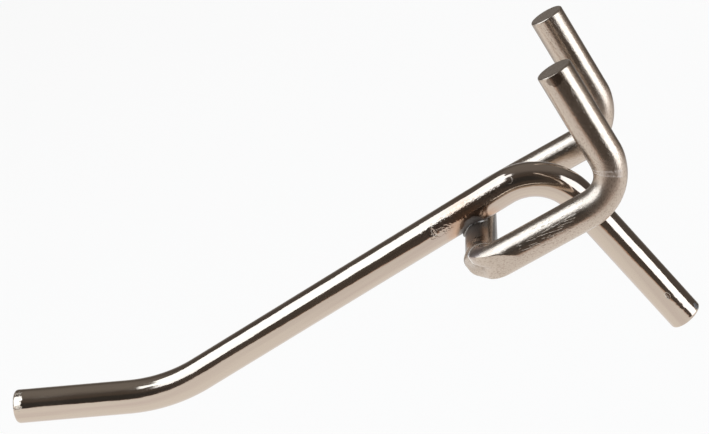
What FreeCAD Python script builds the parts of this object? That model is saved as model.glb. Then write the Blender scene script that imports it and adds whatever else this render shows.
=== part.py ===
import FreeCAD, Part

import math
import os

# A single hook for perforated board, made from two bent round wires.
#
# The frame is that of the bracket that goes through the board. X runs from
# one peg to the other, Y runs back into the board and Z runs up the pegs.
# The origin is midway between the two peg axes, level with the bracket's
# legs. All sizes are in millimetres and all angles in degrees.

# Pitch of the board's holes, which is also the distance between the pegs.
PEG_PITCH = 25.4

# The long wire, bent into the prong and the leg that bears on the board.
PRONG_WIRE_D = 4.5
PRONG_LENGTH = 59.2          # rear corner to the corner of the raised tip
PRONG_FALL = 2.4             # the prong falls forward from the bracket's legs
TIP_LENGTH = 20.6            # corner of the raised tip to its end
TIP_BEND = 27.5
TIP_BEND_R = 22.0            # to the wire's centreline
REAR_BEND = 82.0
REAR_BEND_R = 7.3
LEG_LENGTH = 28.0            # rear corner to the lower end
TIP_END_ROUND = 0.6
LEG_END_ROUND = 0.45

# The short wire, bent into a U whose two ends turn up as pegs.
BRACKET_WIRE_D = 4.5
CROSSPIECE_D = 4.1           # the sharp bends drew the crosspiece thinner
NECK_LENGTH = 2.0            # taper between a corner and the crosspiece
PEG_REACH = 20.2             # crosspiece axis to peg axis
PEG_HEIGHT = 17.6            # leg axis to the top of a peg
UP_BEND_R = 5.5
U_BEND_INSIDE_R = 0.35       # the U is bent almost sharp on its inside
PEG_END_CHAMFER = 0.2

# The leg stays in front of the pegs by the room that the board needs, so
# the prong's rear corner is placed from the pegs.
REAR_TO_PEG = 8.1            # prong's rear corner to the peg axes

# The weld where the prong crosses the bracket's crosspiece.
WELD_SET_DOWN = 0.75         # how far the wires sank into each other
BEAD_OVERHANG = 0.45         # bead past the crosspiece's side, on average
BEAD_SHIFT = 0.25            # the bead is squeezed out towards the front
BEAD_THICKNESS = 1.7
BEAD_CHAMFER = 0.3

vec = FreeCAD.Vector
prong_r = PRONG_WIRE_D / 2.0
bracket_r = BRACKET_WIRE_D / 2.0
crosspiece_r = CROSSPIECE_D / 2.0
u_bend_r = bracket_r + U_BEND_INSIDE_R


def unit(v):
    """Return v at a length of one."""
    return v * (1.0 / v.Length)


def disc(centre, normal, radius):
    """Return a flat round face."""
    circle = Part.Circle(centre, normal, radius)
    return Part.Face(Part.Wire(circle.toShape()))


def setback(bend_r, angle):
    """Return the distance from a sharp corner to where its bend starts."""
    return bend_r * math.tan(math.radians(angle) / 2.0)


def bent_wire(start, heading, radius, moves):
    """Carry a round section along straight runs, tapers and bends.

    A run is ("run", length) and a taper is ("taper", length, new radius).
    A bend is ("bend", radius, angle, side), where side is the direction in
    which the wire turns.
    """
    point = start
    pieces = []
    for move in moves:
        section = disc(point, heading, radius)
        if move[0] == "run":
            pieces.append(section.extrude(heading * move[1]))
            point = point + heading * move[1]
            continue
        if move[0] == "taper":
            length, new_radius = move[1:]
            cone = Part.makeCone(radius, new_radius, length, point, heading)
            pieces.append(cone)
            point = point + heading * length
            radius = new_radius
            continue
        bend_r, angle, side = move[1:]
        axis = unit(heading.cross(side))
        inward = unit(axis.cross(heading))
        centre = point + inward * bend_r
        pieces.append(section.revolve(centre, axis, angle))
        turn = FreeCAD.Rotation(axis, angle)
        point = centre + turn.multVec(inward * -bend_r)
        heading = unit(turn.multVec(heading))
    solid = pieces[0].fuse(pieces[1:]).removeSplitter()
    return solid.Solids[0], point, heading


def end_rim(solid, centre):
    """Find the rim of the wire's cut end that is centred on a point."""
    rims = []
    for edge in solid.Edges:
        if isinstance(edge.Curve, Part.Circle):
            if (edge.Curve.Center - centre).Length < 1e-5:
                rims.append(edge)
    return rims


# Directions of the long wire in the plane x = 0.
fall = math.radians(PRONG_FALL)
lean = math.radians(REAR_BEND - PRONG_FALL)
forward = vec(0, -math.cos(fall), -math.sin(fall))
across = vec(0, -math.sin(fall), math.cos(fall))
leg_way = vec(0, math.cos(lean), -math.sin(lean))

# The crosspiece's axis passes through this point, and the prong's axis
# passes above it. The wires sank into each other by the set-down.
crosspiece = vec(0, -PEG_REACH, 0)
crossing = crosspiece + across * (prong_r + crosspiece_r - WELD_SET_DOWN)
rear_corner = crossing - forward * (PEG_REACH - REAR_TO_PEG)

# Long wire: from the lower end of the leg, up, round the rear bend, along
# the prong and up into the raised tip.
rear_setback = setback(REAR_BEND_R, REAR_BEND)
tip_setback = setback(TIP_BEND_R, TIP_BEND)
leg_end = rear_corner + leg_way * LEG_LENGTH
prong_wire, tip_end, tip_way = bent_wire(
    leg_end,
    leg_way * -1.0,
    prong_r,
    [
        ("run", LEG_LENGTH - rear_setback),
        ("bend", REAR_BEND_R, REAR_BEND, forward),
        ("run", PRONG_LENGTH - rear_setback - tip_setback),
        ("bend", TIP_BEND_R, TIP_BEND, across),
        ("run", TIP_LENGTH - tip_setback),
    ],
)
prong_wire = prong_wire.makeFillet(LEG_END_ROUND, end_rim(prong_wire, leg_end))
prong_wire = prong_wire.makeFillet(TIP_END_ROUND, end_rim(prong_wire, tip_end))

# Short wire: down one peg, forward along its leg, across under the prong,
# back along the other leg and up the other peg.
up = vec(0, 0, 1)
back = vec(0, 1, 0)
right = vec(1, 0, 0)
peg_top = vec(-PEG_PITCH / 2.0, 0, PEG_HEIGHT)
leg_run = PEG_REACH - UP_BEND_R - u_bend_r
bracket_wire, other_top, top_way = bent_wire(
    peg_top,
    up * -1.0,
    bracket_r,
    [
        ("run", PEG_HEIGHT - UP_BEND_R),
        ("bend", UP_BEND_R, 90.0, back * -1.0),
        ("run", leg_run),
        ("bend", u_bend_r, 90.0, right),
        ("taper", NECK_LENGTH, crosspiece_r),
        ("run", PEG_PITCH - 2.0 * (u_bend_r + NECK_LENGTH)),
        ("taper", NECK_LENGTH, bracket_r),
        ("bend", u_bend_r, 90.0, back),
        ("run", leg_run),
        ("bend", UP_BEND_R, 90.0, up),
        ("run", PEG_HEIGHT - UP_BEND_R),
    ],
)
rims = end_rim(bracket_wire, peg_top) + end_rim(bracket_wire, other_top)
bracket_wire = bracket_wire.makeChamfer(PEG_END_CHAMFER, rims)

# Weld: a squeezed-out collar that fills the wedge between the two wires all
# round the place where they sank into each other.
bead_r = crosspiece_r + BEAD_OVERHANG
joint = (crosspiece + crossing) * 0.5 + forward * BEAD_SHIFT
bead = Part.makeCylinder(
    bead_r,
    BEAD_THICKNESS,
    joint - across * (BEAD_THICKNESS / 2.0),
    across,
)
rims = [e for e in bead.Edges if isinstance(e.Curve, Part.Circle)]
bead = bead.makeChamfer(BEAD_CHAMFER, rims)
weld_bead = bead.cut(prong_wire).cut(bracket_wire)
weld_bead = max(weld_bead.Solids, key=lambda s: s.Volume)

# The prong keeps a saddle where the crosspiece sank into it.
prong_wire = prong_wire.cut(bracket_wire)
prong_wire = max(prong_wire.Solids, key=lambda s: s.Volume)

os.makedirs("parts", exist_ok=True)
prong_wire.exportStep("parts/prong_wire.step")
bracket_wire.exportStep("parts/back_bracket_wire.step")
weld_bead.exportStep("parts/weld_bead.step")

for name, solid in (
    ("prong_wire", prong_wire),
    ("back_bracket_wire", bracket_wire),
    ("weld_bead", weld_bead),
):
    box = solid.BoundBox
    print(name, solid.isValid(), round(solid.Volume, 2), "mm3")
    print("  from", [round(v, 2) for v in (box.XMin, box.YMin, box.ZMin)])
    print("  to  ", [round(v, 2) for v in (box.XMax, box.YMax, box.ZMax)])
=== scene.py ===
import math
import bpy
import numpy as np
from mathutils import Matrix


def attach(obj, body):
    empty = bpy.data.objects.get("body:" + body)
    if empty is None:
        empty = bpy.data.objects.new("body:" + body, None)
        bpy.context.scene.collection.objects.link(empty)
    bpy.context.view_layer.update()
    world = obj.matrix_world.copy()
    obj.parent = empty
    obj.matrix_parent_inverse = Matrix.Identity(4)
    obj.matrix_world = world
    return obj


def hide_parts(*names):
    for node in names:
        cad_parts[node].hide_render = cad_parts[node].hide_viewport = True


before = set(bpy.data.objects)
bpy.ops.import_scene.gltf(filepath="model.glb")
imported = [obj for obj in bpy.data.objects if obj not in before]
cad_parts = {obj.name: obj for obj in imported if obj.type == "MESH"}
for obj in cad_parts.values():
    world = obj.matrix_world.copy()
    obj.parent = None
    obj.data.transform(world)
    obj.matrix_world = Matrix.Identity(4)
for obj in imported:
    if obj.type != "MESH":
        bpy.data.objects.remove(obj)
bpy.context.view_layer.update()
scene = bpy.context.scene
scene.view_settings.view_transform = "Standard"


# The studio: a white table far enough below the hook for its shadow to fall
# clear of it. The hook mirrors a white card that lies just under it, three
# soft lamps and a dark room.
def make(tree, kind, sockets, **settings):
    """Add a shader node, set its settings, and set or link its inputs."""
    node = tree.nodes.new(kind)
    for name, value in settings.items():
        setattr(node, name, value)
    for name, value in sockets.items():
        if isinstance(value, bpy.types.NodeSocket):
            tree.links.new(value, node.inputs[name])
        else:
            node.inputs[name].default_value = value
    return node


def maths(tree, operation, *values):
    """Work out one value from others."""
    node = make(tree, "ShaderNodeMath", dict(enumerate(values)), operation=operation)
    return node.outputs[0]


def times(tree, a, b):
    """Multiply two values."""
    return maths(tree, "MULTIPLY", a, b)


def new_material(name):
    """Start a material with an empty node tree."""
    material = bpy.data.materials.new(name)
    material.use_nodes = True
    material.node_tree.nodes.clear()
    return material, material.node_tree


def new_piece(name, points, faces):
    """Make a mesh from points and faces and put it into the scene."""
    mesh = bpy.data.meshes.new(name)
    mesh.from_pydata(points, [], faces)
    piece = bpy.data.objects.new(name, mesh)
    scene.collection.objects.link(piece)
    return piece


def flat_sheet(name, corners):
    """Lay a flat four-cornered sheet."""
    sheet = new_piece(name, [tuple(corner) for corner in corners], [(0, 1, 2, 3)])
    return sheet


# The table takes the hook's shadow as a matt surface. In the camera's view
# most of its colour is plain white.
white = (1, 1, 1, 1)
table_size = 6.0
table_top = -0.22
table_colour = (0.90, 0.86, 0.82, 1)
plain_share = 0.85
table = flat_sheet(
    "table",
    [
        (x * table_size, y * table_size, table_top)
        for x, y in ((-1, -1), (1, -1), (1, 1), (-1, 1))
    ],
)
table.visible_glossy = False
table_paint, tree = new_material("white_table")
rays = make(tree, "ShaderNodeLightPath", {})
clear_view = maths(
    tree, "MAXIMUM", rays.outputs["Is Camera Ray"], rays.outputs["Is Transmission Ray"]
)
matt_paint = make(tree, "ShaderNodeBsdfDiffuse", {"Color": table_colour})
plain_white = make(tree, "ShaderNodeEmission", {"Color": white, "Strength": 1.0})
mixed = make(
    tree,
    "ShaderNodeMixShader",
    {
        0: times(tree, clear_view, plain_share),
        1: matt_paint.outputs[0],
        2: plain_white.outputs[0],
    },
)
make(tree, "ShaderNodeOutputMaterial", {"Surface": mixed.outputs[0]})
table.data.materials.append(table_paint)


def unit(v):
    """Return a vector, or each row of an array, at a length of one."""
    v = np.asarray(v, float)
    return v / np.linalg.norm(v, axis=-1, keepdims=True)


def vector_maths(tree, operation, *values):
    """Work out a vector from others, or else a dot product or a length."""
    node = make(tree, "ShaderNodeVectorMath", dict(enumerate(values)), operation=operation)
    return node.outputs["Value" if operation in ("DOT_PRODUCT", "LENGTH") else "Vector"]


def remap(tree, value, from_low, from_high, to_low=0.0, to_high=1.0, ends="SMOOTHSTEP"):
    """Map a value from one range onto another, with soft ends or LINEAR."""
    sockets = {
        "Value": value,
        "From Min": from_low,
        "From Max": from_high,
        "To Min": to_low,
        "To Max": to_high,
    }
    return make(tree, "ShaderNodeMapRange", sockets, interpolation_type=ends).outputs["Result"]


def blend(tree, share, low, high):
    """Mix two colours by a share."""
    node = make(tree, "ShaderNodeMix", {0: share, 6: low, 7: high}, data_type="RGBA")
    return node.outputs[2]


# The card ends a few centimetres in front of the hook, so that the polished
# wire mirrors its front edge as a sharp line. It is warm along that edge and
# dims far behind it. Only mirror rays see it.
hook_middle = np.array([0.0, -0.02, 0.0])
card_up = unit((-0.188, 0.456, 0.870))
card_front = unit((0.971, 0.219, 0.096))
card_side = np.cross(card_up, card_front)
card_under = 0.0266
card_edge = 0.061
card_length = 2.5
warm_width = 0.014
warm_tint = (0.58, 0.30, 0.17, 1)
brightest_by = 0.09
dims_from = 0.085
dims_until = 0.15
edge_light = 0.80
full_light = 0.99
far_share = 0.58
card_middle = hook_middle - card_up * card_under
card = flat_sheet(
    "white_card",
    [
        card_middle + card_front * front + card_side * side
        for front, side in (
            (card_edge, -card_length),
            (card_edge, card_length),
            (-card_length, card_length),
            (-card_length, -card_length),
        )
    ],
)
card.visible_camera = False
card.visible_diffuse = False
card.visible_shadow = False
card.visible_transmission = False
card_paint, tree = new_material("white_card")
place = make(tree, "ShaderNodeTexCoord", {}).outputs["Object"]
frontness = vector_maths(tree, "DOT_PRODUCT", place, tuple(card_front))
edge_at = float(card_middle @ card_front) + card_edge
rising = remap(
    tree, frontness, edge_at, edge_at - brightest_by, edge_light, full_light, "LINEAR"
)
dimming = remap(tree, frontness, edge_at - dims_from, edge_at - dims_until, 1.0, far_share)
warm_share = remap(tree, frontness, edge_at - warm_width, edge_at, ends="LINEAR")
card_light = make(
    tree,
    "ShaderNodeEmission",
    {
        "Color": blend(tree, warm_share, white, warm_tint),
        "Strength": times(tree, rising, dimming),
    },
)
make(tree, "ShaderNodeOutputMaterial", {"Surface": card_light.outputs[0]})
card.data.materials.append(card_paint)


def layered(tree, colour, layers):
    """Lay tints over a colour one after another, each by its own share."""
    for share, tint in layers:
        colour = blend(tree, share, colour, tint)
    return colour


# In a mirror the room is dark. It is lighter overhead and on the far side,
# glows low on the right, is darkest just above the camera, and is white
# straight behind the hook. The camera sees it as white, and it lights matt
# surfaces as grey.
ahead = np.array([-0.93955, -0.21446, -0.26692])
picture_up = np.array([-0.33959, 0.47991, 0.80893])
low_right = np.array([0.013, 0.908, -0.418])
above_camera = np.array([0.895, 0.075, 0.439])
world = bpy.data.worlds.new("studio")
scene.world = world
world.use_nodes = True
tree = world.node_tree
tree.nodes.clear()
way = make(tree, "ShaderNodeTexCoord", {}).outputs["Generated"]


def toward(axis, low, high):
    """Return a soft mask of the ways near an axis, between two cosines."""
    return remap(tree, vector_maths(tree, "DOT_PRODUCT", way, tuple(axis)), low, high)


right_glow = times(tree, toward(low_right, 0.65, 1.0), toward(-picture_up, -0.37, -0.30))
room = layered(
    tree,
    (0.100, 0.090, 0.083, 1),
    [
        (toward(picture_up, 0.65, 0.95), (0.205, 0.195, 0.185, 1)),
        (toward(-ahead, 0.55, 0.95), (0.080, 0.066, 0.056, 1)),
        (toward(ahead, 0.66, 0.88), (0.21, 0.20, 0.19, 1)),
        (right_glow, (0.62, 0.56, 0.52, 1)),
        (toward(above_camera, 0.93, 0.99), (0.040, 0.038, 0.036, 1)),
        (toward(ahead, 0.93, 0.98), white),
    ],
)
rays = make(tree, "ShaderNodeLightPath", {})
unmirrored = blend(tree, rays.outputs["Is Diffuse Ray"], white, (0.45, 0.45, 0.45, 1))
shown = blend(tree, rays.outputs["Is Glossy Ray"], unmirrored, room)
sky = make(tree, "ShaderNodeBackground", {"Color": shown, "Strength": 1.0})
make(tree, "ShaderNodeOutputWorld", {"Surface": sky.outputs[0]})


def facing(eye, target, up):
    """Return the matrix of a lamp or camera at eye, looking at target.

    Its columns are right, up and back, with up turned square to the view.
    """
    back = unit(np.subtract(eye, target))
    right = unit(np.cross(up, back))
    matrix = np.eye(4)
    matrix[:3, 0] = right
    matrix[:3, 1] = np.cross(back, right)
    matrix[:3, 2] = back
    matrix[:3, 3] = eye
    return matrix


lamp_colour = (0.78, 0.89, 1.0)


def soft_lamp(name, way, distance, up, size, watts):
    """Hang a rectangular soft lamp in a given direction from the hook."""
    light = bpy.data.lights.new(name, "AREA")
    light.shape = "RECTANGLE"
    light.size, light.size_y = size
    light.energy = watts
    light.color = lamp_colour
    lamp = bpy.data.objects.new(name, light)
    eye = hook_middle + unit(way) * distance
    lamp.matrix_world = Matrix(facing(eye, hook_middle, up))
    lamp.visible_camera = False
    scene.collection.objects.link(lamp)


soft_lamp(
    "overhead_lamp",
    way=(0.157, -0.531, 0.833),
    distance=3.2,
    up=(0.168, 0.845, 0.507),
    size=(3.44, 3.58),
    watts=86,
)
soft_lamp(
    "overhead_side",
    way=(0.223, -0.036, 0.974),
    distance=3.2,
    up=(0.168, 0.845, 0.507),
    size=(0.85, 0.85),
    watts=5,
)
soft_lamp(
    "rear_lamp",
    way=(0.426, 0.899, -0.104),
    distance=1.6,
    up=(-0.804, 0.429, 0.412),
    size=(1.87, 1.13),
    watts=15,
)

# The camera looks from the hook's right with its top leaning to the left, so
# that the prong runs down to the lower left of the picture.
camera = bpy.data.cameras.new("camera")
camera.sensor_width = 36.0
camera.lens = 113.1
camera.clip_start = 0.01
view = bpy.data.objects.new("camera", camera)
eye = np.array([0.26859, 0.02824, 0.08645])
view.matrix_world = Matrix(facing(eye, eye + ahead, picture_up))
scene.collection.objects.link(view)
scene.camera = view


# Prong wire: one drawn steel wire, plated mirror-bright. It is bent up at
# its tip and down behind the bracket, and both cut ends are tumbled round.
def straight_run(length):
    """Give lay_wire a straight move."""
    return (length, 0.0, None)


def bend(radius, turn, side):
    """Give lay_wire a bend of a radius and a turn towards a side."""
    return (radius * turn, radius, side)


def lay_wire(start, heading, first, moves, step):
    """Lay out the centreline of a bent wire as stations a step apart.

    Each move is (length, bend radius, side); a straight run has the bend
    radius 0. After the angle a of a bend, the station is start + radius *
    (sin a * heading + (1 - cos a) * inward), and the way that the wire runs
    and the reference side have turned by a about the bend's axis. The swell,
    sin^2 of half a turn over the bend, tells how far into a bend it lies. A
    straight run keeps the inward side of the nearest bend.
    """
    point = np.asarray(start, float)
    heading = unit(heading)
    first = unit(first)
    travelled = 0.0
    laid = []
    for length, bend_radius, side in moves:
        steps = max(2, int(round(length / step)))
        s = np.linspace(0.0, length, steps + 1)[:, None]
        still = np.ones_like(s)
        if bend_radius:
            a = s / bend_radius
            axis = unit(np.cross(heading, side))
            inward = np.cross(axis, heading)
            sideways = axis * np.dot(axis, first)
            columns = [
                point + bend_radius * (np.sin(a) * heading + (1.0 - np.cos(a)) * inward),
                heading * np.cos(a) + inward * np.sin(a),
                sideways + (first - sideways) * np.cos(a) + np.cross(axis, first) * np.sin(a),
                inward * np.cos(a) - heading * np.sin(a),
                travelled + s,
                np.sin(math.pi * s / length) ** 2,
                still * bend_radius,
            ]
        else:
            columns = [
                point + s * heading,
                still * heading,
                still * first,
                still * np.zeros(3),
                travelled + s,
                still * 0.0,
                still * 0.0,
            ]
        stations = np.hstack(columns)
        laid.append(stations[:-1])
        point = stations[-1, 0:3]
        heading = stations[-1, 3:6]
        first = stations[-1, 6:9]
        travelled += length
    wire = np.vstack(laid + [stations[-1:]])
    bent = np.flatnonzero(wire[:, 14] > 0)
    nearest = np.abs(np.arange(len(wire))[:, None] - bent[None, :]).argmin(axis=1)
    wire[:, 9:12] = wire[bent[nearest], 9:12]
    return {
        "point": wire[:, 0:3],
        "way": wire[:, 3:6],
        "first": wire[:, 6:9],
        "inward": wire[:, 9:12],
        "run": wire[:, 12:13],
        "swell": wire[:, 13:14],
        "bend_radius": wire[:, 14:15],
    }


def smooth_step(x, low, high):
    """Rise from 0 at low to 1 at high as 3t^2 - 2t^3."""
    t = np.clip((np.asarray(x, float) - low) / (high - low), 0.0, 1.0)
    return t * t * (3.0 - 2.0 * t)


def faces_between(rings, around, closed=False):
    """Return the four-cornered faces between rings of points, facing outwards.

    The face at (ring, place) joins (ring, place), (ring, place + 1), (ring +
    1, place + 1) and (ring + 1, place). On a closed tube the last ring joins
    the first.
    """
    this_ring = np.arange(rings if closed else rings - 1)[:, None] * around
    next_ring = (this_ring + around) % (rings * around)
    place = np.arange(around)
    beside = (place + 1) % around
    corners = [this_ring + place, this_ring + beside, next_ring + beside, next_ring + place]
    return np.stack(corners, axis=-1).reshape(-1, 4)


def skin_wire(name, course, radius, roundings, around, flatten=None):
    """Carry a round section along a wire's course and close both ends.

    A point is station + r * (cos t * first + sin t * second), where second
    is the way crossed with first. At each end, r and the station follow a
    quarter circle of that end's rounding to the flat cut, which closes in
    one point. The flatten function takes its depth off r in the bends.
    """
    run = course["run"][:, 0]
    total = run[-1]
    start_r, end_r = radius(np.array([0.0, total]))
    start_round, end_round = roundings
    quarter = np.linspace(0.0, math.pi / 2.0, 11)
    cut = np.linspace(0.12, 0.9, 7)
    least_gap = 0.01 * mm
    body = run[(run > start_round + least_gap) & (run < total - end_round - least_gap)]
    s = np.concatenate(
        [
            cut * 0.0,
            start_round * (1.0 - np.cos(quarter)),
            body,
            total - end_round * (1.0 - np.cos(quarter[::-1])),
            total + cut * 0.0,
        ]
    )
    r = np.concatenate(
        [
            cut * (start_r - start_round),
            start_r - start_round * (1.0 - np.sin(quarter)),
            radius(body),
            end_r - end_round * (1.0 - np.sin(quarter[::-1])),
            cut[::-1] * (end_r - end_round),
        ]
    )
    at = {
        key: np.stack([np.interp(s, run, column) for column in value.T], axis=1)
        for key, value in course.items()
    }
    at["way"] = unit(at["way"])
    first = at["first"] - at["way"] * np.sum(at["first"] * at["way"], 1, keepdims=True)
    first = unit(first)
    second = np.cross(at["way"], first)
    t = np.linspace(0.0, 2.0 * math.pi, around, endpoint=False)
    outward = (
        first[:, None, :] * np.cos(t)[None, :, None]
        + second[:, None, :] * np.sin(t)[None, :, None]
    )
    depth = np.repeat(r[:, None], around, axis=1)
    if flatten is not None:
        depth = depth - flatten(outward, at)
    grid = at["point"][:, None, :] + outward * depth[:, :, None]
    points = np.vstack(
        [grid.reshape(-1, 3), course["point"][0][None], course["point"][-1][None]]
    )
    rings = len(s)
    place = np.arange(around)
    beside = (place + 1) % around
    pole = np.full(around, rings * around)
    last_ring = (rings - 1) * around
    start_fan = np.stack([pole, beside, place], axis=1)
    end_fan = np.stack([pole + 1, last_ring + place, last_ring + beside], axis=1)
    sides = faces_between(rings, around)
    piece = new_piece(name, points.tolist(), sides.tolist() + start_fan.tolist() + end_fan.tolist())
    piece.data.shade_smooth()

    # Each point keeps its place on the unrolled wire for the marks and the
    # grain: how far along the wire, and its two sides from the centreline.
    straight = np.zeros((len(points), 3))
    straight[:-2, 0] = np.repeat(s, around)
    straight[:-2, 1] = (depth * np.cos(t)).ravel()
    straight[:-2, 2] = (depth * np.sin(t)).ravel()
    straight[-1, 0] = total
    kept = piece.data.attributes.new("straight_wire", "FLOAT_VECTOR", "POINT")
    kept.data.foreach_set("vector", straight.astype(np.float32).ravel())
    return piece


mm = 0.001
wire_radius = 2.25 * mm
wires_apart = 3.55 * mm
peg_reach = 20.2 * mm
fall = math.radians(2.4)
lean = math.radians(79.6)
forward = np.array([0.0, -math.cos(fall), -math.sin(fall)])
across = np.array([0.0, -math.sin(fall), math.cos(fall)])
leg_way = np.array([0.0, math.cos(lean), -math.sin(lean)])
behind_weld = 12.1 * mm
crosspiece_middle = np.array([0.0, -peg_reach, 0.0])
rear_corner = crosspiece_middle + across * wires_apart - forward * behind_weld
leg_length = 28.0 * mm
top_length = 59.2 * mm
tip_length = 20.6 * mm
rear_radius = 7.3 * mm
rear_turn = fall + lean
rear_setback = rear_radius * math.tan(rear_turn / 2.0)
tip_radius = 22.0 * mm
tip_turn = math.radians(27.5)
tip_setback = tip_radius * math.tan(tip_turn / 2.0)
leg_rounding = 0.45 * mm
tip_rounding = 0.60 * mm
prong_course = lay_wire(
    start=rear_corner + leg_way * leg_length,
    heading=-leg_way,
    first=(1.0, 0.0, 0.0),
    moves=[
        straight_run(leg_length - rear_setback),
        bend(rear_radius, rear_turn, forward),
        straight_run(top_length - rear_setback - tip_setback),
        bend(tip_radius, tip_turn, across),
        straight_run(tip_length - tip_setback),
    ],
    step=0.25 * mm,
)


def prong_radius(s):
    """Return the prong's radius, which is the same all along."""
    return np.full_like(s, wire_radius)


prong = skin_wire(
    "bright_prong", prong_course, prong_radius, (leg_rounding, tip_rounding), around=128
)
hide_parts("prong_wire")
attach(prong, "root")


def plus(tree, a, b):
    """Add two values."""
    return maths(tree, "ADD", a, b)


def minus(tree, a, b):
    """Take one value from another."""
    return maths(tree, "SUBTRACT", a, b)


def topped_up(tree, value, parts):
    """Add to a value each part times its weight."""
    for part, weight in parts:
        value = plus(tree, value, times(tree, part, weight))
    return value


def scaled_noise(tree, place, stretch, scale, detail=3.0):
    """Return noise from a place whose axes are stretched one by one."""
    stretched = vector_maths(tree, "MULTIPLY", place, stretch)
    sockets = {"Vector": stretched, "Scale": scale, "Detail": detail}
    return make(tree, "ShaderNodeTexNoise", sockets).outputs[0]


def spot(tree, unrolled, centre, size, ragged=0.0):
    """Return a soft mask of an oval patch, placed on the unrolled wire in mm."""
    away = vector_maths(tree, "SUBTRACT", unrolled, tuple(c * mm for c in centre))
    share = vector_maths(tree, "MULTIPLY", away, tuple(1.0 / (c * mm) for c in size))
    distance = vector_maths(tree, "LENGTH", share)
    if ragged:
        rough_edge = scaled_noise(tree, unrolled, (1, 1, 1), 2600.0)
        distance = plus(tree, distance, times(tree, rough_edge, ragged))
        return remap(tree, distance, 0.75 + ragged / 2.0, 1.0 + ragged / 2.0, 1.0, 0.0)
    return remap(tree, distance, 0.6, 1.0, 1.0, 0.0)


def bumped(tree, height, depth, under=None):
    """Bump a surface by a height from 0 to 1 times a depth, over other bumps."""
    sockets = {"Strength": 1.0, "Distance": depth, "Height": height}
    if under is not None:
        sockets["Normal"] = under
    return make(tree, "ShaderNodeBump", sockets).outputs[0]


def finish_metal(tree, colour, roughness, normal):
    """End a material's node tree with its metal shader."""
    metal = make(
        tree,
        "ShaderNodeBsdfPrincipled",
        {"Base Color": colour, "Metallic": 1.0, "Roughness": roughness, "Normal": normal},
    )
    make(tree, "ShaderNodeOutputMaterial", {"Surface": metal.outputs[0]})


def new_group(name, takes, gives):
    """Start a node group with the given inputs and outputs."""
    group = bpy.data.node_groups.new(name, "ShaderNodeTree")
    for label, kind in takes.items():
        group.interface.new_socket(name=label, in_out="INPUT", socket_type=kind)
    for label in gives:
        group.interface.new_socket(name=label, in_out="OUTPUT", socket_type="NodeSocketFloat")
    return group, group.nodes.new("NodeGroupInput"), group.nodes.new("NodeGroupOutput")


# Drawing leaves fine lengthwise lines and broad bands under the plating, and
# the plating itself has a slight grain and is a little cloudy.
grain_group, grain_in, grain_out = new_group(
    "drawn_wire", {"Unrolled": "NodeSocketVector"}, ["Grain", "Lines", "Cloud", "Bands"]
)
for label, lengthwise, scale, detail in (
    ("Grain", 0.7, 4600.0, 2.0),
    ("Lines", 0.03, 5200.0, 2.0),
    ("Cloud", 0.5, 420.0, 3.0),
    ("Bands", 0.03, 900.0, 2.0),
):
    pattern = scaled_noise(
        grain_group, grain_in.outputs["Unrolled"], (lengthwise, 1, 1), scale, detail
    )
    grain_group.links.new(pattern, grain_out.inputs[label])

# The weld's heat scorched the wires dark next to it. Round that, the plating
# has gone brown and copper coloured. The distance from the weld is counted in
# reaches, and noise makes it uneven.
heat_group, heat_in, heat_out = new_group(
    "weld_heat",
    {"Place": "NodeSocketVector", "Reach": "NodeSocketVector"},
    ["Scorch", "Brown", "Copper"],
)
weld_height = 1.7 * mm
weld_middle = crosspiece_middle + across * weld_height
from_weld = vector_maths(heat_group, "SUBTRACT", heat_in.outputs["Place"], tuple(weld_middle))
in_reaches = vector_maths(heat_group, "DIVIDE", from_weld, heat_in.outputs["Reach"])
heat_noise = scaled_noise(heat_group, heat_in.outputs["Place"], (1, 1, 1), 900.0)
heat_distance = topped_up(
    heat_group, vector_maths(heat_group, "LENGTH", in_reaches), [(heat_noise, 0.35)]
)
for label, inner, outer in (("Scorch", 1.12, 1.26), ("Brown", 1.2, 1.5), ("Copper", 1.25, 2.1)):
    heated = remap(heat_group, heat_distance, inner, outer, 1.0, 0.0)
    heat_group.links.new(heated, heat_out.inputs[label])


def start_metal(name, reach):
    """Start a plated-metal material with its place, grain and tint nodes."""
    material, tree = new_material(name)
    attribute = make(tree, "ShaderNodeAttribute", {}, attribute_name="straight_wire")
    unrolled = attribute.outputs["Vector"]
    place = make(tree, "ShaderNodeTexCoord", {}).outputs["Object"]
    grain = make(tree, "ShaderNodeGroup", {"Unrolled": unrolled}, node_tree=grain_group)
    heat_sockets = {"Place": place, "Reach": tuple(c * mm for c in reach)}
    heat = make(tree, "ShaderNodeGroup", heat_sockets, node_tree=heat_group)
    return material, tree, unrolled, grain.outputs, heat.outputs


bright_nickel, tree, unrolled, grain, heat = start_metal("bright_nickel", (2.55, 2.45, 2.45))
along = make(tree, "ShaderNodeSeparateXYZ", {"Vector": unrolled}).outputs[0]

# A row of small dents lies in front of the weld and starts at a deeper nick.
# The leg has a nick near its end, and a grey patch next to its rounded end is painted shade.
dent_cells = make(
    tree, "ShaderNodeTexVoronoi", {"Vector": unrolled, "Scale": 3600.0}, feature="F1"
).outputs["Distance"]
dent_row = spot(tree, unrolled, centre=(41.5, 2.2, 0.05), size=(1.9, 0.9, 0.62), ragged=0.7)
dents = times(tree, times(tree, remap(tree, dent_cells, 0.25, 0.6), dent_row), 0.45)
nick = spot(tree, unrolled, centre=(42.45, 2.15, 0.50), size=(0.28, 0.6, 0.58), ragged=0.6)
nick_dip = spot(tree, unrolled, centre=(42.80, 2.10, 0.70), size=(0.56, 0.75, 0.64))
deep_nick = plus(tree, times(tree, nick, 1.2), times(tree, nick_dip, 0.9))
leg_nick = spot(tree, unrolled, centre=(4.65, 2.2, 0.40), size=(0.52, 0.4, 0.30), ragged=0.8)
marks = plus(tree, plus(tree, dents, deep_nick), leg_nick)
# Painted shade: a grey, rougher patch by the leg's rounded end.
leg_end_painted_shade = spot(tree, unrolled, centre=(0.70, 0.98, 2.03), size=(0.55, 0.5, 0.45), ragged=0.6)

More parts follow.
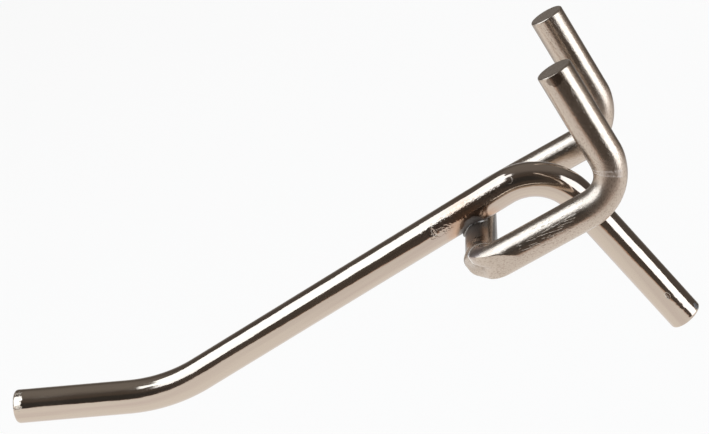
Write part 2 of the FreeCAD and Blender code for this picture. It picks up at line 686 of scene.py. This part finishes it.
# The rear bend has a ring-shaped scratch, whose half towards the leg shows.
ring_outer = spot(tree, unrolled, centre=(30.93, 1.86, 1.20), size=(0.52, 0.52, 0.64), ragged=0.2)
ring_inner = spot(tree, unrolled, centre=(30.97, 1.84, 1.24), size=(0.46, 0.46, 0.57), ragged=0.2)
ring_mark = remap(tree, minus(tree, ring_outer, ring_inner), 0.25, 0.6, 0.0, 0.9)
ring_mark = times(tree, ring_mark, remap(tree, along, 31.4 * mm, 31.0 * mm))

# The surface is uneven next to both cut ends, and the tip was cropped with a
# small uneven facet on its right side.
near_leg_end = remap(tree, along, 6.0 * mm, 2.5 * mm)
near_tip_end = remap(tree, along, 102.6 * mm, 104.6 * mm)
end_noise = scaled_noise(tree, unrolled, (0.8, 1, 1), 750.0, 2.0)
end_waves = times(tree, end_noise, plus(tree, near_leg_end, near_tip_end))
end_waves = times(tree, end_waves, 1.4)
facet = spot(tree, unrolled, centre=(104.75, 1.55, 1.5), size=(0.80, 1.25, 1.25), ragged=1.8)
facet_drop = times(tree, facet, remap(tree, along, 103.9 * mm, 105.1 * mm))

# Spatter from the welding has left brown specks on the prong's side and
# roughened it there.
spatter_zone = spot(tree, unrolled, centre=(38.0, 2.0, 0.95), size=(6.5, 1.1, 1.1), ragged=0.4)
spatter_noise = scaled_noise(tree, unrolled, (0.5, 1, 1), 4200.0, 2.0)
spatter = times(tree, spatter_zone, remap(tree, spatter_noise, 0.52, 0.64, 0.0, 0.6))

pale_nickel = (0.64, 0.54, 0.445, 1)
dim_nickel = (0.58, 0.475, 0.40, 1)
spatter_brown = (0.36, 0.27, 0.21, 1)
copper_tint = (0.60, 0.385, 0.26, 1)
heat_brown = (0.27, 0.19, 0.14, 1)
scorch_grey = (0.33, 0.30, 0.28, 1)
painted_shade_grey = (0.31, 0.31, 0.32, 1)
nick_shade = (0.17, 0.14, 0.12, 1)
plating = layered(
    tree,
    pale_nickel,
    [
        (remap(tree, grain["Bands"], 0.35, 0.65), dim_nickel),
        (spatter, spatter_brown),
        (heat["Copper"], copper_tint),
        (heat["Brown"], heat_brown),
        (heat["Scorch"], scorch_grey),
        (leg_end_painted_shade, painted_shade_grey),
        (times(tree, leg_nick, 0.75), nick_shade),
    ],
)
dullness = topped_up(
    tree,
    remap(tree, grain["Cloud"], 0.3, 0.75, 0.07, 0.12),
    [(heat["Scorch"], 0.42), (ring_mark, 0.3), (leg_end_painted_shade, 0.35)],
)
graininess = plus(tree, times(tree, spatter_zone, 6.0), 0.6)
texture = plus(tree, times(tree, grain["Grain"], graininess), times(tree, grain["Lines"], 0.4))
surface = bumped(tree, plus(tree, grain["Cloud"], end_waves), 0.05 * mm)
surface = bumped(tree, minus(tree, 1.0, facet_drop), 0.36 * mm, under=surface)
surface = bumped(tree, texture, 0.004 * mm, under=surface)
surface = bumped(tree, minus(tree, 1.0, marks), 0.06 * mm, under=surface)
finish_metal(tree, plating, dullness, surface)
prong.data.materials.append(bright_nickel)


# Bracket wire: a shorter piece of the same wire, bent almost sharp into a U
# under the prong, with its ends turned up as pegs. Its plating is duller,
# and the bending dies marked it and flattened it a little at the bends.
peg_apart = 25.4 * mm
peg_height = 17.6 * mm
peg_rounding = 0.2 * mm
up_radius = 5.5 * mm
corner_radius = 2.6 * mm
quarter_turn = math.radians(90.0)
leg_run = peg_reach - up_radius - corner_radius
bracket_course = lay_wire(
    start=(-peg_apart / 2.0, 0.0, peg_height),
    heading=(0.0, 0.0, -1.0),
    first=(0.0, 1.0, 0.0),
    moves=[
        straight_run(peg_height - up_radius),
        bend(up_radius, quarter_turn, (0.0, -1.0, 0.0)),
        straight_run(leg_run),
        bend(corner_radius, quarter_turn, (1.0, 0.0, 0.0)),
        straight_run(peg_apart - 2.0 * corner_radius),
        bend(corner_radius, quarter_turn, (0.0, 1.0, 0.0)),
        straight_run(leg_run),
        bend(up_radius, quarter_turn, (0.0, 0.0, 1.0)),
        straight_run(peg_height - up_radius),
    ],
    step=0.2 * mm,
)
crosspiece_run = bracket_course["run"][-1, 0] / 2.0
crosspiece_half = peg_apart / 2.0 - corner_radius
crosspiece_thinned = 0.2 * mm
thinned_until = 8.1 * mm
full_from = 10.1 * mm
press_depth = 1.25 * mm
press_tilt = math.radians(6.0)
press_wear = 0.32 * mm
tuck_depth = 0.72 * mm
tuck_tilt = math.radians(30.0)
grip_depth = 0.35 * mm
least_cosine = 0.3


def bracket_radius(s):
    """Return the bracket's radius, which is less along the crosspiece."""
    from_middle = np.abs(s - crosspiece_run)
    full = smooth_step(from_middle, thinned_until, full_from)
    return wire_radius - crosspiece_thinned * (1.0 - full)


def over_corner(into_corner, rise, drop):
    """Rise to 1 and drop again over a tight corner, between points in mm."""
    risen = smooth_step(into_corner, rise[0] * mm, rise[1] * mm)
    return risen * (1.0 - smooth_step(into_corner, drop[0] * mm, drop[1] * mm))


def facing_down(outward, at, tilt):
    """Return the cosine from a way that looks out of a bend, tilted down."""
    looks = -math.cos(tilt) * at["inward"] - math.sin(tilt) * np.array([0.0, 0.0, 1.0])
    return np.sum(outward * looks[:, None, :], axis=2)


def bend_flats(outward, at):
    """Return how deep the bends are flattened.

    The die pressed a flat face onto the outer side of each tight corner. It
    looks a little down, and its depth is r less (r - depth) / cos of the
    angle from the way it looks. Its lower edge is worn round: p becomes half
    of p + sqrt(p^2 + wear^2). Below it the corner is tucked in by its depth *
    cos^4 of the angle from a way further down. The wide bends lose their
    depth * cos^2 of the angle from the inner side, where the die held them.
    """
    into_corner = np.abs(at["run"] - crosspiece_run) - crosspiece_half
    pressed_share = over_corner(into_corner, rise=(-0.9, 1.2), drop=(1.0, 6.8))
    tucked_share = over_corner(into_corner, rise=(-0.7, 1.1), drop=(0.8, 4.4))
    flat_lean = np.maximum(facing_down(outward, at, press_tilt), least_cosine)
    pressed = wire_radius - (wire_radius - press_depth * pressed_share) / flat_lean
    worn = press_wear * pressed_share * smooth_step(-outward[:, :, 2], -0.05, 0.30)
    pressed = (pressed + np.sqrt(pressed**2 + worn**2)) / 2.0
    tuck_lean = np.maximum(facing_down(outward, at, tuck_tilt), 0.0)
    tucked = tuck_depth * tucked_share * tuck_lean**4
    inner_lean = np.maximum(np.sum(outward * at["inward"][:, None, :], axis=2), 0.0)
    held = grip_depth * at["swell"] * inner_lean**2
    wide_bend = at["bend_radius"] > (corner_radius + up_radius) / 2.0
    return pressed + tucked + np.where(wide_bend, held, 0.0)


bracket = skin_wire(
    "satin_bracket",
    bracket_course,
    bracket_radius,
    (peg_rounding, peg_rounding),
    around=160,
    flatten=bend_flats,
)
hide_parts("back_bracket_wire")
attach(bracket, "root")

satin_nickel, tree, unrolled, grain, heat = start_metal("satin_nickel", (7.0, 2.7, 3.7))
sides = make(tree, "ShaderNodeSeparateXYZ", {"Vector": unrolled})
along, round_a, round_b = sides.outputs[0], sides.outputs[1], sides.outputs[2]


def stretch_of_run(along, low, high, soft):
    """Return a soft mask of a stretch of the wire, given in mm."""
    risen = remap(tree, along, (low - soft) * mm, (low + soft) * mm)
    left = remap(tree, along, (high - soft) * mm, (high + soft) * mm, 1.0, 0.0)
    return times(tree, risen, left)


# One leg has a low lengthwise ridge from the drawing die on its lower side.
ridge_noise = scaled_noise(tree, unrolled, (0.12, 1, 1), 1500.0, 2.0)
ridge_side = topped_up(tree, round_a, [(ridge_noise, 0.5 * mm)])
ridge_away = maths(tree, "ABSOLUTE", plus(tree, ridge_side, 0.60 * mm))
ridge = remap(tree, ridge_away, 0.0, 0.28 * mm, 1.0, 0.0)
ridge = times(tree, ridge, stretch_of_run(along, 66.5, 73.0, 1.5))
ridge = times(tree, ridge, remap(tree, round_b, -0.8 * mm, -1.4 * mm))


# Each tight corner has a thin raised lip over its upper side, where the wire
# was crimped as it was bent. Its pale colour is a painted highlight along the
# corner's edge.
def crimp_lip(lip_run, slope):
    """Return a thin line that crosses the upper side of the wire aslant."""
    slanted_run = topped_up(tree, along, [(round_b, slope)])
    lip_away = maths(tree, "ABSOLUTE", minus(tree, slanted_run, lip_run))
    lip = remap(tree, lip_away, 0.05 * mm, 0.26 * mm, 1.0, 0.0)
    return times(tree, lip, remap(tree, round_a, -0.3 * mm, -0.8 * mm))


lip_from_middle = crosspiece_half + 0.4 * mm
lips_and_painted_highlight = plus(
    tree,
    crimp_lip(crosspiece_run + lip_from_middle, 0.55),
    crimp_lip(crosspiece_run - lip_from_middle, -0.55),
)

# Where the dies gripped it the plating is matt: over both tight corners and
# in both wide bends.
run_mm = bracket_course["run"][:, 0] / mm
in_bend = bracket_course["bend_radius"][:, 0] > 0
bend_ends = [float(run_mm[k + 1]) for k in np.flatnonzero(np.diff(in_bend.astype(int)))]
gripped = [
    stretch_of_run(along, low, high, 0.8) for low, high in zip(bend_ends[0::2], bend_ends[1::2])
]
matt = gripped[0]
for grip in gripped[1:]:
    matt = plus(tree, matt, grip)

# One wide bend has a faint scuffed line across one side of the wire. It is
# double, and fainter between its two edges.
slant = topped_up(tree, along, [(round_a, 0.15)])
line_edges = plus(
    tree,
    stretch_of_run(slant, 79.40, 79.56, 0.06),
    stretch_of_run(slant, 79.98, 80.16, 0.06),
)
scuffed = topped_up(tree, line_edges, [(stretch_of_run(slant, 79.4, 80.1, 0.1), 0.35)])
line_side = times(
    tree,
    remap(tree, round_b, -0.6 * mm, -1.2 * mm),
    remap(tree, round_a, 1.7 * mm, 1.1 * mm),
)
scuffed = times(tree, scuffed, line_side)
scuff_specks = remap(tree, scaled_noise(tree, unrolled, (1, 1, 1), 3600.0), 0.34, 0.58)
die_line = maths(tree, "MINIMUM", times(tree, scuffed, scuff_specks), 1.0)

# Fine scratches run a little aslant along the wire, and most are on one leg.
scratch_place = make(
    tree,
    "ShaderNodeMapping",
    {"Vector": unrolled, "Rotation": (0.0, 0.0, 0.20), "Scale": (14.0, 1.0, 1.0)},
    vector_type="TEXTURE",
).outputs[0]
scratch_noise = make(
    tree, "ShaderNodeTexNoise", {"Vector": scratch_place, "Scale": 8200.0, "Detail": 1.0}
).outputs[0]
scratched_leg = spot(tree, unrolled, centre=(68.2, -0.7, -1.9), size=(4.6, 1.5, 1.6), ragged=0.3)
scratches = times(
    tree,
    remap(tree, scratch_noise, 0.62, 0.70),
    topped_up(tree, 0.15, [(scratched_leg, 0.85)]),
)

# Brown specks lie thickest on one peg and where the dies gripped. There is
# a stain below a peg's end. One tight corner has a brown patch of painted
# shade on its upper side.
speckled = spot(tree, unrolled, centre=(2.7, -0.62, 2.16), size=(2.2, 0.7, 0.9), ragged=0.5)
speck_noise = scaled_noise(tree, unrolled, (0.7, 1, 1), 6000.0, 2.0)
specks = times(
    tree,
    remap(tree, speck_noise, 0.50, 0.64),
    topped_up(tree, 0.30, [(speckled, 0.5), (matt, 0.15)]),
)
# Painted shade: a brown patch at one tight corner, on its upper side.
shade_run = float(crosspiece_run + crosspiece_half) / mm + 1.9
corner_painted_shade = spot(
    tree, unrolled, centre=(shade_run, -2.2, -0.4), size=(1.4, 1.2, 1.3), ragged=0.5
)
peg_stain = spot(tree, unrolled, centre=(93.35, -0.35, -2.2), size=(0.85, 1.15, 1.0), ragged=0.9)

# Only the crosspiece's front side is scorched.
place = make(tree, "ShaderNodeTexCoord", {}).outputs["Object"]
from_front = make(tree, "ShaderNodeSeparateXYZ", {"Vector": place}).outputs[1]
front_side = remap(tree, from_front, -18.7 * mm, -19.6 * mm)
scorched = times(tree, heat["Scorch"], front_side)

satin_dark = (0.59, 0.495, 0.41, 1)
satin_light = (0.64, 0.54, 0.45, 1)
speck_brown = (0.33, 0.24, 0.18, 1)
copper_tint = (0.43, 0.38, 0.335, 1)
heat_brown = (0.31, 0.275, 0.245, 1)
scorch_brown = (0.26, 0.225, 0.20, 1)
peg_stain_brown = (0.27, 0.21, 0.165, 1)
scuff_pale = (0.74, 0.66, 0.60, 1)
painted_shade_brown = (0.42, 0.34, 0.31, 1)
# The lips' pale colour is a painted highlight.
lip_painted_highlight = (0.88, 0.82, 0.76, 1)
plating = layered(
    tree,
    satin_dark,
    [
        (grain["Cloud"], satin_light),
        (specks, speck_brown),
        (heat["Copper"], copper_tint),
        (heat["Brown"], heat_brown),
        (scorched, scorch_brown),
        (peg_stain, peg_stain_brown),
        (die_line, scuff_pale),
        (corner_painted_shade, painted_shade_brown),
        (lips_and_painted_highlight, lip_painted_highlight),
    ],
)
dullness = topped_up(
    tree,
    remap(tree, grain["Cloud"], 0.3, 0.75, 0.18, 0.26),
    [(matt, 0.08), (die_line, 0.25), (lips_and_painted_highlight, 0.20), (scorched, 0.15)],
)
texture = plus(tree, times(tree, grain["Grain"], 0.75), times(tree, grain["Lines"], 0.25))
surface = bumped(tree, grain["Cloud"], 0.05 * mm)
surface = bumped(tree, texture, 0.016 * mm, under=surface)
surface = bumped(tree, lips_and_painted_highlight, 0.11 * mm, under=surface)
surface = bumped(tree, minus(tree, ridge, scratches), 0.02 * mm, under=surface)
finish_metal(tree, plating, dullness, surface)
bracket.data.materials.append(satin_nickel)


# Weld: the two wires were pressed into each other while hot, and a thin rim
# of scorched steel was squeezed out all round the seam. It is widest at the
# front, where it runs down over the crosspiece.
crosspiece_radius = wire_radius - crosspiece_thinned
seam_steps = 288
rim_steps = 28
furthest_seam = 2.2 * mm
rim_radius = 0.17 * mm
rim_uneven = 0.035 * mm
rim_proud = 0.02 * mm
drip_swell = 0.20 * mm
drip_proud = 0.16 * mm
drip_down = 0.18 * mm


def seam_gap(reach, t):
    """Return how far apart the wires' surfaces are at a reach from the middle.

    Across the prong the reach is reach * sin t and along it reach * cos t.
    The gap is the wires' distance less the drop of the prong's underside and
    the height of the crosspiece's top, sqrt(r^2 - reach^2) of each circle.
    """
    under = np.sqrt(np.maximum(wire_radius**2 - (reach * np.sin(t)) ** 2, 0.0))
    over = np.sqrt(np.maximum(crosspiece_radius**2 - (reach * np.cos(t)) ** 2, 0.0))
    return wires_apart - under - over


# The seam is where the gap is nothing, and halving finds its reach from the
# middle. The way out of the seam lies halfway between the ways that both
# surfaces face there, and is turned square to the seam.
t = np.linspace(0.0, 2.0 * math.pi, seam_steps, endpoint=False)
closed_at = np.zeros(seam_steps)
open_at = np.full(seam_steps, furthest_seam)
for halving in range(40):
    half = (closed_at + open_at) / 2.0
    is_open = seam_gap(half, t) > 0.0
    open_at = np.where(is_open, half, open_at)
    closed_at = np.where(is_open, closed_at, half)
reach = (closed_at + open_at) / 2.0
lengthwise = forward * (reach * np.cos(t))[:, None]
crosswise = np.array([1.0, 0.0, 0.0]) * (reach * np.sin(t))[:, None]
rise = np.sqrt(crosspiece_radius**2 - (reach * np.cos(t)) ** 2)
seam = crosspiece_middle + lengthwise + crosswise + across * rise[:, None]
from_prong = crosswise + across * (rise - wires_apart)[:, None]
from_crosspiece = lengthwise + across * rise[:, None]
out_of_seam = unit(unit(from_prong) + unit(from_crosspiece))
seam_way = unit(np.roll(seam, -1, axis=0) - np.roll(seam, 1, axis=0))
out_of_seam = unit(
    out_of_seam - seam_way * np.sum(out_of_seam * seam_way, axis=1, keepdims=True)
)
up_seam = np.cross(seam_way, out_of_seam)

# A point of the rim is its middle + size * lumps * (cos a * out of the seam +
# sin a * up the seam). Its size is the sum of a radius, three sines round the
# seam and a bell-shaped drip at the front, exp(-x^2), which also pushes it
# outwards and down.
uneven = 0.5 * np.sin(5.0 * t + 0.7) + 0.3 * np.sin(9.0 * t + 2.1) + 0.2 * np.sin(16.0 * t)
drip = np.exp(-(((t - 0.6) / 0.5) ** 2))
rim_size = rim_radius + rim_uneven * uneven + drip_swell * drip
rim_middle = (
    seam
    + out_of_seam * (rim_proud + drip_proud * drip)[:, None]
    - across * (drip_down * drip)[:, None]
)
a = np.linspace(0.0, 2.0 * math.pi, rim_steps, endpoint=False)
lumps = 1.0 + 0.10 * np.sin(3.0 * a[None, :] + 2.0 * t[:, None])
rim = (
    rim_middle[:, None, :]
    + out_of_seam[:, None, :] * (rim_size[:, None] * lumps * np.cos(a)[None, :])[:, :, None]
    + up_seam[:, None, :] * (rim_size[:, None] * lumps * np.sin(a)[None, :])[:, :, None]
)
rim_faces = faces_between(seam_steps, rim_steps, closed=True)
weld = new_piece("weld_rim", rim.reshape(-1, 3).tolist(), rim_faces.tolist())
weld.data.shade_smooth()
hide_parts("weld_bead")
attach(weld, "root")

crust_dark = (0.12, 0.115, 0.11, 1)
crust_light = (0.42, 0.39, 0.36, 1)
scorched_steel, tree = new_material("scorched_steel")
place = make(tree, "ShaderNodeTexCoord", {}).outputs["Object"]
crust_cloud = scaled_noise(tree, place, (1, 1, 1), 1500.0, 4.0)
crust_grain = scaled_noise(tree, place, (1, 1, 1), 6000.0, 3.0)
finish_metal(
    tree,
    blend(tree, crust_cloud, crust_dark, crust_light),
    remap(tree, crust_cloud, 0.3, 0.7, 0.22, 0.40),
    bumped(tree, crust_grain, 0.02 * mm),
)
weld.data.materials.append(scorched_steel)
